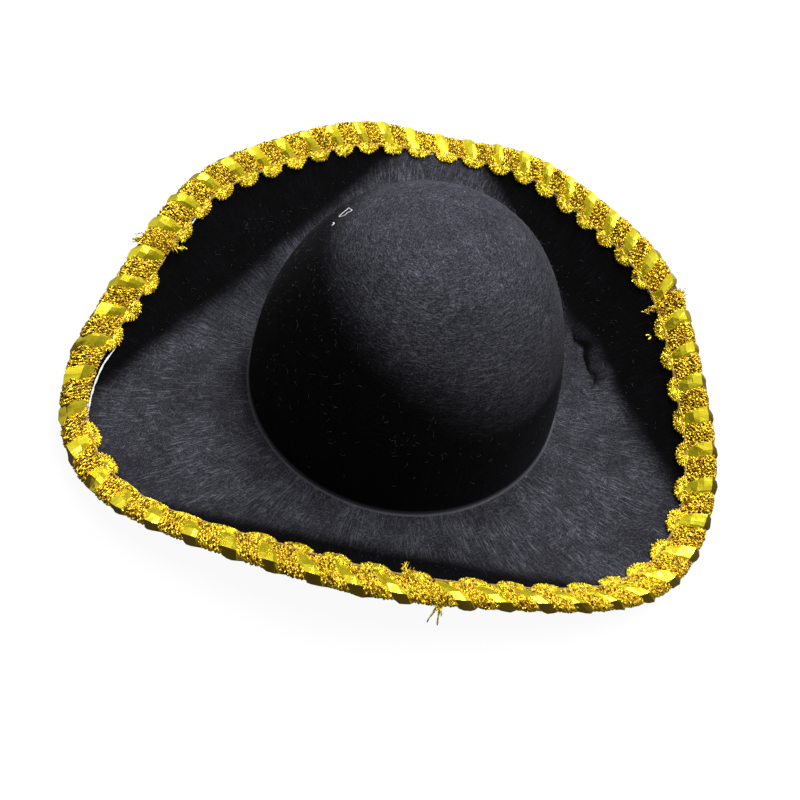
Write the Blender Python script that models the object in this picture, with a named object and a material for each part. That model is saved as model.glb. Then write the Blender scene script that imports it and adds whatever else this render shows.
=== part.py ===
"""A felt tricorn hat with gold gimp trim, as its separate pieces, in metres with +Z up.

The origin is the middle of the hat's footprint, in the plane that the hat rests on: the under face of the brim
around the head opening. +Y points to the front corner, and -Y to the middle of the back side. The pieces are
modelled around the crown's axis, and hang on an empty that puts this axis at its place behind the origin.

A place around the hat is a column: column 0 looks along +Y and the columns count clockwise from above.
Every piece shares these columns, so that neighbours have parallel facets and keep their gaps.
"""

import math

import bmesh
import bpy
from mathutils import Vector

# Head opening and the layers between the head and the outer face of the crown.
HEAD_CIRCUMFERENCE = 0.570
SWEATBAND_THICKNESS = 0.0008
STIFFENER_THICKNESS = 0.0012
FELT_THICKNESS = 0.0018
GAP = 0.0003

# Crown: a body of revolution with a superellipse for its profile.
CROWN_HEIGHT = 0.1372
CROWN_SIDE_POWER = 2.69
CROWN_TOP_POWER = 1.79

# Brim outline: mean radius, how far the three corners reach, and how much they are squared off.
BRIM_RADIUS = 0.1819
CORNER_REACH = 0.0166
CORNER_ROUNDING = 0.0041
FRONT_REACH = 0.0058

# Brim: the dish is its upward curve away from the crown, per metre, and the front rise tilts it up at the front.
# Each side is turned up beyond a straight fold line, at this distance from the hat's axis.
FOLD_DISTANCE = 0.1218
FOLD_SOFTNESS = 0.018
UPTURN_SLOPE = 0.95
FRONT_RISE = 0.010
BRIM_DISH = 0.60
REST_RING_WIDTH = 0.007

# Trim: a gimp braid that is folded over the brim's edge. Widths are measured in from the edge on one face.
TRIM_ZONE = 0.022
BRAID_WIDTH = 0.0125
FOIL_WIDTH = 0.0105
SCALLOP_VALLEY = 0.0140
SCALLOP_TIP = 0.0195
SCALLOP_START = 0.0129
BRAID_THICKNESS = 0.0010
FOIL_THICKNESS = 0.0004
THREAD_WIDTH = 0.0007
GLUE_START = 0.0030
GLUE_END = 0.0140
GLUE_THICKNESS = 0.0004
LAYER_GAP = 0.0005

# Sweatband and care label inside the crown.
SWEATBAND_BOTTOM = 0.0045
SWEATBAND_TOP = 0.0345
SWEATBAND_LAP_COLUMNS = 2
SEAM_HEIGHT = 0.0100
LABEL_WIDTH = 0.028
LABEL_LENGTH = 0.042
LABEL_THICKNESS = 0.0005
LABEL_STANDOFF = 0.0034
LABEL_HINGE_HEIGHT = 0.0380
TACK_RADIUS = 0.0005
TACK_SIDES = 8

# Mesh density.
COLUMNS = 60
CROWN_RINGS = 8
BRIM_RINGS = 6
FOLD_STEPS = 4
SCALLOP_STEPS = 4

# Columns where the three lengths of trim butt together, and the length that starts at each.
TRIM_LENGTHS = {"right": (11, 28), "left": (28, 47), "front": (47, 71)}
SPLICE_GAP = 0.02

# Sizes that follow from the ones above.
BRIM_THICKNESS = FELT_THICKNESS + GAP + STIFFENER_THICKNESS
CROWN_RADIUS = (
    HEAD_CIRCUMFERENCE / (2 * math.pi) + SWEATBAND_THICKNESS + GAP + BRIM_THICKNESS
)
CREASE_HEIGHT = BRIM_THICKNESS
SIDE_MIDDLES = (math.radians(60), math.radians(180), math.radians(300))

# Linear colours, roughness and metallic value of each material.
MATERIALS = {
    "felt": ((0.012, 0.012, 0.016), 0.95, 0.0),
    "stiffener": ((0.03, 0.03, 0.032), 0.85, 0.0),
    "ribbon": ((0.01, 0.01, 0.011), 0.6, 0.0),
    "black_thread": ((0.015, 0.015, 0.015), 0.7, 0.0),
    "gold_yarn": ((0.62, 0.42, 0.04), 0.45, 0.7),
    "gold_foil": ((0.85, 0.65, 0.03), 0.15, 1.0),
    "beige_thread": ((0.55, 0.42, 0.30), 0.7, 0.0),
    "glue": ((0.80, 0.80, 0.78), 0.35, 0.0),
    "label_cloth": ((0.75, 0.75, 0.73), 0.8, 0.0),
}


# ---------------------------------------------------------------- scene and materials


def clear_scene():
    for item in list(bpy.data.objects):
        bpy.data.objects.remove(item)


def make_material(name):
    colour, roughness, metallic = MATERIALS[name]
    material = bpy.data.materials.new(name)
    material.use_nodes = True
    shader = material.node_tree.nodes["Principled BSDF"]
    shader.inputs["Base Color"].default_value = (*colour, 1.0)
    shader.inputs["Roughness"].default_value = roughness
    shader.inputs["Metallic"].default_value = metallic
    material.diffuse_color = (*colour, 1.0)
    return material


def make_empty(name, location, parent=None):
    empty = bpy.data.objects.new(name, None)
    bpy.context.scene.collection.objects.link(empty)
    empty.parent = parent
    empty.location = location
    return empty


def make_object(name, points, faces, material, parent):
    """An object from points and faces, with its faces turned to point out."""
    mesh = bpy.data.meshes.new(name)
    mesh.from_pydata([tuple(p) for p in points], [], faces)
    work = bmesh.new()
    work.from_mesh(mesh)
    bmesh.ops.recalc_face_normals(work, faces=work.faces)
    work.to_mesh(mesh)
    work.free()
    mesh.materials.append(make_material(material))
    mesh.shade_smooth()
    mesh.set_sharp_from_angle(angle=math.radians(40))
    item = bpy.data.objects.new(name, mesh)
    bpy.context.scene.collection.objects.link(item)
    item.parent = parent
    return item


# ---------------------------------------------------------------- the shape of the hat


def column_angle(column):
    return 2 * math.pi * column / COLUMNS


def at_angle(radius, height, angle):
    """A point at this radius and height, at an angle clockwise from +Y."""
    return Vector((radius * math.sin(angle), radius * math.cos(angle), height))


def brim_outline(angle):
    """Radius of the felt's edge: a circle drawn out at three corners, a little more at the front."""
    return (
        BRIM_RADIUS
        + FRONT_REACH * math.cos(angle)
        + CORNER_REACH * math.cos(3 * angle)
        + CORNER_ROUNDING * math.cos(6 * angle)
    )


def side_upturn(radius, angle):
    """Height gained by the dish, the front rise and the three folds, each rounded over FOLD_SOFTNESS."""
    beyond_crown = radius - CROWN_RADIUS
    height = FRONT_RISE * math.cos(angle) * beyond_crown + BRIM_DISH * beyond_crown ** 2
    for middle in SIDE_MIDDLES:
        past_fold = radius * math.cos(angle - middle) - FOLD_DISTANCE
        height += UPTURN_SLOPE * (math.hypot(past_fold, FOLD_SOFTNESS) + past_fold) / 2
    return height


def brim_height(radius, angle):
    """Height of the brim's upper face. It is flat from the crease to the rest ring's outer edge."""
    ring = CROWN_RADIUS + REST_RING_WIDTH
    if radius <= ring:
        return CREASE_HEIGHT
    return CREASE_HEIGHT + side_upturn(radius, angle) - side_upturn(ring, angle)


def crown_profile():
    """(radius, height) from the top of the crown down to just above the crease."""
    points = []
    for ring in range(CROWN_RINGS):
        turn = math.radians(90) * (1 - ring / (CROWN_RINGS + 2))
        radius = CROWN_RADIUS * max(math.cos(turn), 0.0) ** (2 / CROWN_SIDE_POWER)
        height = CROWN_HEIGHT * math.sin(turn) ** (2 / CROWN_TOP_POWER)
        points.append((radius if ring else 0.0, CREASE_HEIGHT + height))
    for height in (SWEATBAND_TOP, SWEATBAND_TOP / 2):
        points.append((crown_radius(height), CREASE_HEIGHT + height))
    return points


def crown_radius(height):
    """Radius of the crown's outer face at a height above the crease."""
    share = (height / CROWN_HEIGHT) ** CROWN_TOP_POWER
    return CROWN_RADIUS * (1 - share) ** (1 / CROWN_SIDE_POWER)


def brim_profile(angle):
    """(radius, height) from the crease out to the edge. The stretch under the trim is straight."""
    ring = CROWN_RADIUS + REST_RING_WIDTH
    edge = brim_outline(angle)
    trim_start = edge - TRIM_ZONE
    radii = [CROWN_RADIUS, ring]
    for step in range(1, BRIM_RINGS + 1):
        radii.append(ring + (trim_start - ring) * step / BRIM_RINGS)
    points = [(radius, brim_height(radius, angle)) for radius in radii]
    last = points[-1]
    tip = (edge, brim_height(edge, angle))
    middle = ((last[0] + tip[0]) / 2, (last[1] + tip[1]) / 2)
    return points + [middle, tip]


def outer_profile(angle):
    return crown_profile() + brim_profile(angle)


def inset_profile(profile, distance):
    """The profile moved by distance into the hat's underside, with mitred corners. It starts on the axis."""
    normals = []
    for (r0, z0), (r1, z1) in zip(profile, profile[1:]):
        length = math.hypot(r1 - r0, z1 - z0)
        normals.append(((z1 - z0) / length, (r0 - r1) / length))
    moved = [(0.0, profile[0][1] - distance)]
    for index in range(1, len(profile) - 1):
        (a_r, a_z), (b_r, b_z) = normals[index - 1], normals[index]
        scale = distance / (1 + a_r * b_r + a_z * b_z)
        r, z = profile[index]
        moved.append((r + (a_r + b_r) * scale, z + (a_z + b_z) * scale))
    r, z = profile[-1]
    moved.append((r + normals[-1][0] * distance, z + normals[-1][1] * distance))
    return moved


# ---------------------------------------------------------------- moulded layers


def moulded_layer(name, top_depth, bottom_depth, material, axis):
    """One moulded layer of crown and brim, between two depths below the felt's outer face."""
    points, faces = [], []
    rows = len(outer_profile(0.0))
    for depth in (top_depth, bottom_depth):
        points.append(at_angle(0.0, inset_profile(outer_profile(0.0), depth)[0][1], 0.0))
        for column in range(COLUMNS):
            angle = column_angle(column)
            profile = inset_profile(outer_profile(angle), depth)
            points.extend(at_angle(r, z, angle) for r, z in profile[1:])
    stride = rows - 1
    sheet = 1 + COLUMNS * stride

    def index(side, column, row):
        if row == 0:
            return side * sheet
        return side * sheet + 1 + (column % COLUMNS) * stride + row - 1

    for column in range(COLUMNS):
        for side in (0, 1):
            faces.append((index(side, column, 0), index(side, column, 1), index(side, column + 1, 1)))
            for row in range(1, rows - 1):
                near, far = index(side, column, row), index(side, column + 1, row)
                near_out, far_out = index(side, column, row + 1), index(side, column + 1, row + 1)
                faces.append((near, near_out, far_out, far))
        edge = rows - 1
        faces.append((index(0, column, edge), index(1, column, edge),
                      index(1, column + 1, edge), index(0, column + 1, edge)))
    return make_object(name, points, faces, material, axis)


# ---------------------------------------------------------------- strips along the brim's edge


def edge_place(inward, above, column):
    """A point by its distance in from the felt's edge and its height over the middle of the brim's thickness."""
    angle = column_angle(column)
    profile = brim_profile(angle)
    (r0, z0), (r1, z1) = profile[-2], profile[-1]
    length = math.hypot(r0 - r1, z0 - z1)
    in_r, in_z = (r0 - r1) / length, (z0 - z1) / length
    up_r, up_z = in_z, -in_r
    rise = above - BRIM_THICKNESS / 2
    return at_angle(r1 + in_r * inward + up_r * rise, z1 + in_z * inward + up_z * rise, angle)


def trim_place(inward, above, station):
    """The same for a station between two columns, on the straight facet that joins them."""
    column = math.floor(station)
    share = station - column
    start = edge_place(inward, above, column)
    if share < 1e-9:
        return start
    return start.lerp(edge_place(inward, above, column + 1), share)


def fold_path(width, distance):
    """(inward, above) from the upper face, around the felt's edge, to the under face."""
    offset = BRIM_THICKNESS / 2 + distance
    path = [(width, offset)]
    for step in range(FOLD_STEPS + 1):
        turn = math.pi * step / FOLD_STEPS
        path.append((-offset * math.sin(turn), offset * math.cos(turn)))
    return path + [(width, -offset)]


def folded_section(width, inner, outer):
    return fold_path(width, outer) + fold_path(width, inner)[::-1]


def flat_section(start, end, inner, outer, side):
    """A rectangle on the upper face (side 1) or the under face (side -1) of the brim."""
    low = side * (BRIM_THICKNESS / 2 + inner)
    high = side * (BRIM_THICKNESS / 2 + outer)
    return [(start, low), (end, low), (end, high), (start, high)]


def strip(name, sections, material, parent, closed=False):
    """A solid strip through a row of sections, each a loop of the same number of points.

    Each quad starts at its corner nearest the axis, so that the twisted quads of stacked layers crease the same way.
    """
    count = len(sections[0])
    points = [point for section in sections for point in section]
    faces = []
    spans = len(sections) if closed else len(sections) - 1
    for span in range(spans):
        here, there = span * count, (span + 1) % len(sections) * count
        for corner in range(count):
            other = (corner + 1) % count
            quad = (here + corner, here + other, there + other, there + corner)
            if points[quad[0]].xy.length > points[quad[1]].xy.length:
                quad = quad[1:] + quad[:1]
            faces.append(quad)
    if not closed:
        last = (len(sections) - 1) * count
        faces.append(tuple(range(count)))
        faces.append(tuple(last + corner for corner in reversed(range(count))))
    return make_object(name, points, faces, material, parent)


def stations_along(first, last, steps):
    """Stations of one length of trim, with a small gap left at both splices."""
    stations = [first + step / steps for step in range((last - first) * steps + 1)]
    stations[0] += SPLICE_GAP
    stations[-1] -= SPLICE_GAP
    return stations


def trim_strip(name, section_at, length, steps, material, axis):
    sections = []
    for station in stations_along(*length, steps):
        sections.append([trim_place(i, n, station) for i, n in section_at(station)])
    return strip(name, sections, material, axis)


def folded_braid(label, length, axis):
    inner = LAYER_GAP + GLUE_THICKNESS + GAP
    section = folded_section(BRAID_WIDTH, inner, inner + BRAID_THICKNESS)
    return trim_strip(f"braid_{label}", lambda s: section, length, 1, "gold_yarn", axis)


def folded_foil(label, length, axis):
    inner = LAYER_GAP + GLUE_THICKNESS + GAP + BRAID_THICKNESS + GAP
    section = folded_section(FOIL_WIDTH, inner, inner + FOIL_THICKNESS)
    return trim_strip(f"foil_{label}", lambda s: section, length, 1, "gold_foil", axis)


def scallops(label, length, side, face, axis):
    """The looped yarn: its inner outline has one half-round scallop in each column."""
    inner = LAYER_GAP + GLUE_THICKNESS + GAP

    def section_at(station):
        bulge = abs(math.sin(math.pi * station))
        tip = SCALLOP_VALLEY + (SCALLOP_TIP - SCALLOP_VALLEY) * bulge
        return flat_section(SCALLOP_START, tip, inner, inner + BRAID_THICKNESS, side)

    name = f"scallops_{face}_{label}"
    return trim_strip(name, section_at, length, SCALLOP_STEPS, "gold_yarn", axis)


def stitch_line(label, length, side, face, axis):
    """The chain stitch that lies over the joint between the braid and the scallops."""
    inner = LAYER_GAP + GLUE_THICKNESS + GAP + BRAID_THICKNESS + GAP
    middle = (BRAID_WIDTH + SCALLOP_START) / 2
    section = flat_section(
        middle - THREAD_WIDTH / 2, middle + THREAD_WIDTH / 2, inner, inner + THREAD_WIDTH, side
    )
    name = f"stitch_{face}_{label}"
    return trim_strip(name, lambda s: section, length, 1, "beige_thread", axis)


def glue_bead(label, length, axis):
    """Glue between the felt's upper face and the trim."""
    section = flat_section(GLUE_START, GLUE_END, LAYER_GAP, LAYER_GAP + GLUE_THICKNESS, 1)
    return trim_strip(f"glue_{label}", lambda s: section, length, 1, "glue", axis)


def trim(axis):
    for label, length in TRIM_LENGTHS.items():
        folded_braid(label, length, axis)
        folded_foil(label, length, axis)
        glue_bead(label, length, axis)
        for side, face in ((1, "inner"), (-1, "outer")):
            scallops(label, length, side, face, axis)
            stitch_line(label, length, side, face, axis)


def trim_reach(column):
    """Distance from the crown's axis to the outermost point of the trim."""
    layers = LAYER_GAP + GLUE_THICKNESS + GAP + BRAID_THICKNESS + GAP + FOIL_THICKNESS
    points = [edge_place(i, n, column) for i, n in fold_path(FOIL_WIDTH, layers)]
    return max(math.hypot(point.x, point.y) for point in points)


def crown_axis_place():
    """The crown's axis lies behind the middle of the footprint, because the front corner reaches furthest."""
    front, back = trim_reach(0), trim_reach(COLUMNS // 2)
    return Vector((0.0, (back - front) / 2, 0.0))


# ---------------------------------------------------------------- inside the crown


def crown_inside(height):
    """Radius of the stiffener's inner face at a height over the rest plane, between the profile's points."""
    profile = inset_profile(outer_profile(0.0), BRIM_THICKNESS)
    for (r0, z0), (r1, z1) in zip(profile, profile[1:]):
        if z1 <= height <= z0:
            return r0 + (r1 - r0) * (z0 - height) / (z0 - z1)
    raise ValueError("no crown wall at this height")


def band_lift(column):
    """How far the sweatband stands off the wall: its end laps over its start."""
    return SWEATBAND_THICKNESS + GAP if column >= COLUMNS else 0.0


def sweatband(axis):
    """A ribbon around the inside of the crown's foot, whose ends lap at the back."""
    start = COLUMNS // 2
    heights = (SWEATBAND_BOTTOM, CREASE_HEIGHT + SWEATBAND_TOP / 2, SWEATBAND_TOP)
    sections = []
    for column in range(COLUMNS + SWEATBAND_LAP_COLUMNS + 1):
        angle = column_angle(start + column)
        wall = GAP + band_lift(column)
        outer = [at_angle(crown_inside(z) - wall, z, angle) for z in heights]
        inner = [at_angle(crown_inside(z) - wall - SWEATBAND_THICKNESS, z, angle) for z in heights]
        sections.append(outer + inner[::-1])
    return strip("sweatband", sections, "ribbon", axis)


def sweatband_thread(axis):
    """The seam's thread: a ring on the sweatband's inner face, clear of its lapped ends."""
    layers = 2 * (SWEATBAND_THICKNESS + GAP) + GAP
    sections = []
    for column in range(COLUMNS):
        angle = column_angle(column)
        outer = crown_inside(SEAM_HEIGHT) - layers
        low, high = SEAM_HEIGHT - THREAD_WIDTH / 2, SEAM_HEIGHT + THREAD_WIDTH / 2
        corners = ((outer, low), (outer, high), (outer - THREAD_WIDTH, high), (outer - THREAD_WIDTH, low))
        sections.append([at_angle(r, z, angle) for r, z in corners])
    return strip("sweatband_thread", sections, "black_thread", axis, closed=True)


def label_axis():
    """Place of the label's sewn edge, at the back of the crown just above the sweatband."""
    return Vector((0.0, -(crown_inside(LABEL_HINGE_HEIGHT) - LABEL_STANDOFF), LABEL_HINGE_HEIGHT))


def label_lean():
    """Angle by which the label leans in from upright, so that it follows the crown's wall."""
    top = LABEL_HINGE_HEIGHT + LABEL_LENGTH
    run = crown_inside(LABEL_HINGE_HEIGHT) - crown_inside(top)
    return math.atan2(run, LABEL_LENGTH)


def care_label(axis):
    """A blank cloth label. Its lower edge is sewn down, and it turns about that edge."""
    hinge = make_empty("label_hinge", label_axis(), axis)
    hinge.rotation_euler = (-label_lean(), 0.0, 0.0)
    half = LABEL_THICKNESS / 2
    clear = TACK_RADIUS + GAP
    sections = []
    for x in (-LABEL_WIDTH / 2, 0.0, LABEL_WIDTH / 2):
        corners = ((-half, clear), (half, clear), (half, LABEL_LENGTH), (-half, LABEL_LENGTH))
        sections.append([Vector((x, y, z)) for y, z in corners])
    return strip("care_label", sections, "label_cloth", hinge)


def label_thread(axis):
    """The bar tack along the label's sewn edge, which is the axis that the label turns about."""
    place = label_axis()
    sections = []
    for x in (-LABEL_WIDTH / 2, LABEL_WIDTH / 2):
        loop = []
        for side in range(TACK_SIDES):
            turn = 2 * math.pi * side / TACK_SIDES
            offset = Vector((x, TACK_RADIUS * math.cos(turn), TACK_RADIUS * math.sin(turn)))
            loop.append(place + offset)
        sections.append(loop)
    return strip("label_thread", sections, "black_thread", axis)


# ---------------------------------------------------------------- the whole hat


def build_hat():
    clear_scene()
    axis = make_empty("crown_axis", crown_axis_place())
    moulded_layer("felt_cover", 0.0, FELT_THICKNESS, "felt", axis)
    moulded_layer("stiffener_shell", FELT_THICKNESS + GAP, BRIM_THICKNESS, "stiffener", axis)
    trim(axis)
    sweatband(axis)
    sweatband_thread(axis)
    label_thread(axis)
    care_label(axis)
    bpy.context.view_layer.update()


build_hat()
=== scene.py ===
"""The looks of a felt tricorn hat with gold gimp trim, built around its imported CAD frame, in metres.

A place on the hat is given around the crown's axis: an angle clockwise from +Y as seen from above, a radius
and a height. A place on the trim is (along, across, lift): the distance along the brim's edge, the distance
across the braid from the fold (negative on the brim's upper face), and the height off the brim's surface.
"""

import math
import random

import bpy
import numpy as np
from mathutils import Matrix, Vector


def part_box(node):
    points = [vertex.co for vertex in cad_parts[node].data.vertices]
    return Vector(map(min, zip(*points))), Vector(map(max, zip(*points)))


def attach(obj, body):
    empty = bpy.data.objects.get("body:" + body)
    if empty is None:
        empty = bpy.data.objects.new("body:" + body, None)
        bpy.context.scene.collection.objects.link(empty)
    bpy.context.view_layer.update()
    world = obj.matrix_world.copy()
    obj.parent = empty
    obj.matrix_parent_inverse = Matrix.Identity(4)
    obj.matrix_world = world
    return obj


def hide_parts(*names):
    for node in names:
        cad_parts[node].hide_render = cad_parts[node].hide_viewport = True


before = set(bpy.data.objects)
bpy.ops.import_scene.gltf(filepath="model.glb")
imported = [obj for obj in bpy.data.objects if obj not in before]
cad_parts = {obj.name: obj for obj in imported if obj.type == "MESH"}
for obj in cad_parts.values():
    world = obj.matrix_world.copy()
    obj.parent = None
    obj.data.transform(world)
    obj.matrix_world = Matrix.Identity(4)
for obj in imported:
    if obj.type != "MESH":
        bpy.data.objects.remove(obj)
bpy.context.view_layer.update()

# ---- sizes

MM = 0.001
BODY = "hat"
LABEL_BODY = "label"

# The crown's axis and the sizes of the moulded body, as in the CAD model.
BAND_LOW, BAND_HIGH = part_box("sweatband")
AXIS_Y = (BAND_LOW.y + BAND_HIGH.y) / 2
BRIM_THICKNESS = 3.3 * MM
FELT_THICKNESS = 1.8 * MM
LAYER_GAP = 0.3 * MM
CROWN_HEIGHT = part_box("felt_cover")[1].z - BRIM_THICKNESS
CROWN_RADIUS = 95.1 * MM
CROWN_SIDE_POWER = 2.69
CROWN_TOP_POWER = 1.79
CROWN_LEAN = 4 * MM
LEAN_START = 40 * MM
BRIM_RADIUS = 181.9 * MM
CORNER_REACH = 16.6 * MM
CORNER_ROUNDING = 4.1 * MM
FRONT_REACH = 5.8 * MM
FOLD_DISTANCE = 121.8 * MM
FOLD_SOFTNESS = 18 * MM
UPTURN_SLOPE = 0.95
FRONT_RISE = 0.010
BRIM_DISH = 0.60
REST_RING_WIDTH = 7 * MM
CREASE_HEIGHT = BRIM_THICKNESS
SIDE_MIDDLES = (math.radians(60), math.radians(180), math.radians(300))
SWEATBAND_THICKNESS = 0.8 * MM
LABEL_THICKNESS = 0.5 * MM

# The heights between which the nap's brushing changes to the crown's way, and the number of loose fibres.
NAP_CHANGE = (55 * MM, 65 * MM)
STRAY_FIBRES = 3200

# The trim: the angles in degrees where its three lengths butt, and the layout of the braid.
TRIM_LENGTHS = {"right": (66, 168), "left": (168, 282), "front": (282, 426)}
TRIM_ZONE = 22 * MM
FOLD_RADIUS = BRIM_THICKNESS / 2 + 0.8 * MM
HALF_FOLD = math.pi / 2 * FOLD_RADIUS
STITCH_ACROSS = 16.9 * MM
STITCH_LENGTH = 2.4 * MM
SCALLOP_ROOT = STITCH_ACROSS - 0.6 * MM
SCALLOP_DEPTH = 6.6 * MM
# Half widths of the bars and the scallops, as shares of a repeat, and the number of yarns in each.
BAR_WIDTH, BAR_YARNS = 0.28, 9
SCALLOP_WIDTH, SCALLOP_LOOPS = 0.41, 11
# One repeat of the braid in each length, and where in its first repeat the first foil window sits.
REPEATS = {"right": (22.1 * MM, 0.70), "left": (22.95 * MM, 0.79), "front": (21.9 * MM, 0.57)}
# The pattern's slant, sideways per distance across, at some angles: it was skewed round the corners by hand.
SLANT_ANGLES = np.radians((66, 95, 120, 185, 260, 426))
SLANTS = (0.05, 0.15, 0.45, 0.80, 0.55, 0.40)

# The camera: where it stands as seen from its target, its roll, its lens in mm and its frame's shift.
CAMERA_TURN = math.radians(-2.5)
CAMERA_HEIGHT = math.radians(52.8)
CAMERA_ROLL = math.radians(13.04)
CAMERA_DISTANCE = 0.738
CAMERA_LENS = 53.54
CAMERA_SHIFT = (-0.0040, -0.0229)
CAMERA_TARGET = Vector((0.0, AXIS_Y, 0.0021))


# ---- the shape of the hat


def smooth_step(value, low, high):
    share = np.clip((value - low) / (high - low), 0.0, 1.0)
    return share * share * (3 - 2 * share)


def outline(angle):
    """Radius of the felt's edge."""
    corners = CORNER_REACH * np.cos(3 * angle) + CORNER_ROUNDING * np.cos(6 * angle)
    return BRIM_RADIUS + FRONT_REACH * np.cos(angle) + corners


def side_upturn(radius, angle):
    """Height gained by the dish, the front rise and the three folded sides."""
    beyond_crown = radius - CROWN_RADIUS
    height = FRONT_RISE * np.cos(angle) * beyond_crown + BRIM_DISH * beyond_crown ** 2
    for middle in SIDE_MIDDLES:
        past_fold = radius * np.cos(angle - middle) - FOLD_DISTANCE
        height = height + UPTURN_SLOPE * (np.hypot(past_fold, FOLD_SOFTNESS) + past_fold) / 2
    return height


def brim_height(radius, angle):
    """Height of the brim's upper face, with a soft start at the rest ring's outer edge."""
    ring = CROWN_RADIUS + REST_RING_WIDTH
    rise = side_upturn(radius, angle) - side_upturn(ring, angle)
    return CREASE_HEIGHT + rise * smooth_step(radius, ring, ring + REST_RING_WIDTH)


def place(radius, height, angle):
    """Points in the hat's frame, from places around the crown's axis."""
    return np.stack([radius * np.sin(angle), radius * np.cos(angle) + AXIS_Y, height + 0 * angle], axis=-1)


def brim_place(inward, above, angle):
    """A point by its distance in from the edge and its height over the middle of the brim's thickness."""
    edge = outline(angle)
    top, low = brim_height(edge, angle), brim_height(edge - TRIM_ZONE, angle)
    length = np.hypot(TRIM_ZONE, top - low)
    in_r, in_z = -TRIM_ZONE / length, (low - top) / length
    rise = above - BRIM_THICKNESS / 2
    return place(edge + in_r * inward + in_z * rise, top + in_z * inward - in_r * rise, angle)


TABLE_ANGLES = np.linspace(0, 4 * math.pi, 2881)
TABLE_POINTS = brim_place(0 * TABLE_ANGLES, 0 * TABLE_ANGLES, TABLE_ANGLES)
TABLE_STEPS = np.linalg.norm(np.diff(TABLE_POINTS, axis=0), axis=1)
TABLE_LENGTHS = np.concatenate([[0], np.cumsum(TABLE_STEPS)])


def length_at(degrees):
    """The distance along the felt's edge from angle 0."""
    return float(np.interp(math.radians(degrees), TABLE_ANGLES, TABLE_LENGTHS))


def in_degrees(angle):
    return np.degrees(np.mod(angle, 2 * math.pi))


def hump(angle, middle, half_width):
    """A smooth hump over the angle, 1 at the middle and half as high at both half widths."""
    return np.exp(-(((in_degrees(angle) - middle) / half_width) ** 2) * math.log(2))


def stretch(angle, start, full, fading, end):
    """1 over a stretch of the edge and 0 outside it, with soft ends. The limits are in degrees."""
    turn = in_degrees(angle)
    return smooth_step(turn, start, full) * (1 - smooth_step(turn, fading, end))


def tucked(angle):
    """1 where the braid was pulled over the edge at the left corner, with its scallops tucked under it."""
    return stretch(angle, 244, 248, 258, 262)


def curled(angle):
    """1 beside the left corner, where the inner scallops curl up and only a narrow border of them shows."""
    return stretch(angle, 202, 208, 229, 236)


def hand_glued_shift(angle):
    """How far the braid sits off its middle, because it was folded and glued by hand."""
    left_corner = np.exp(-(((in_degrees(angle) - 249) / 13) ** 2))
    return (5.5 * left_corner + 0.8 * np.sin(2 * angle + 1) + 0.5 * np.sin(5 * angle)) * MM


def angle_at(along):
    """The angle at a distance along the felt's edge."""
    return np.interp(along, TABLE_LENGTHS, TABLE_ANGLES)


def looseness(angle, across):
    """How far the trim stands off the felt: its borders along the back, and its fold at the left corner."""
    inner = 5.0 * hump(angle, 190, 30) * smooth_step(-across, 5 * MM, 22 * MM)
    outer = 6.5 * hump(angle, 182, 13) * smooth_step(across, 5 * MM, 22 * MM)
    fold = 3.4 * hump(angle, 251, 12) * (1 - smooth_step(np.abs(across), 1 * MM, 12 * MM))
    return (inner + outer + fold) * MM


def trim_place(along, across, lift, loose=1.0):
    """A point on the trim, folded around the brim's edge. loose is 0 for what sticks to the felt."""
    along, across, lift = np.broadcast_arrays(along, across, lift)
    angle = angle_at(along)
    across = across + hand_glued_shift(angle)
    lift = lift + loose * looseness(angle, across)
    offset = BRIM_THICKNESS / 2 + lift
    flat = np.abs(across) > HALF_FOLD
    turn = np.clip(across / FOLD_RADIUS, -math.pi / 2, math.pi / 2)
    inward = np.where(flat, np.abs(across) - HALF_FOLD, -offset * np.cos(turn))
    above = -offset * np.sin(turn)
    return brim_place(inward, above, angle)


# ---- meshes


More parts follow.
